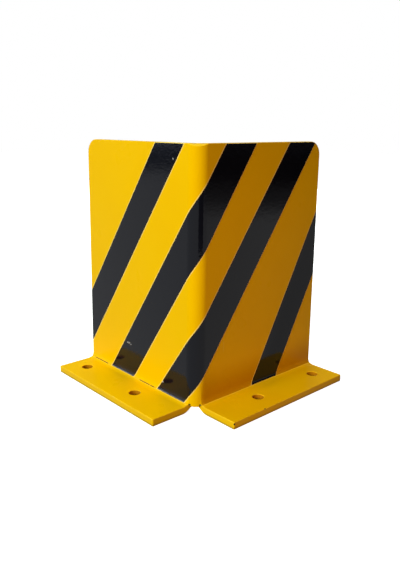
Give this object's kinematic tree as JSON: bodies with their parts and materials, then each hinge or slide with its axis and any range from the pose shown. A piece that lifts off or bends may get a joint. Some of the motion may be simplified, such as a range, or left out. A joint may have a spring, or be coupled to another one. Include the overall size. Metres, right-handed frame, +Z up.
{
  "type": "column corner guard",
  "caption": "Folded steel corner guard: walls round an upright bend, outward feet drilled for anchors, slanting film strips on the outer faces.",
  "frame": {"origin": "middle of the footprint's bounding box, on the floor", "axes": "+Z up from the floor, +X along one wall and +Y along the other, both away from the outer corner, which is towards -X and -Y"},
  "size_m": [0.3, 0.3, 0.35],
  "materials": {
    "powder_coat": "semi-gloss yellow powder coat",
    "strip_film": "gloss black vinyl film"
  },
  "bodies": {
    "root": {"folded_plate": "powder_coat", "strip_1": "strip_film", "strip_2": "strip_film", "strip_3": "strip_film", "strip_4": "strip_film"}
  },
  "joints": []
}
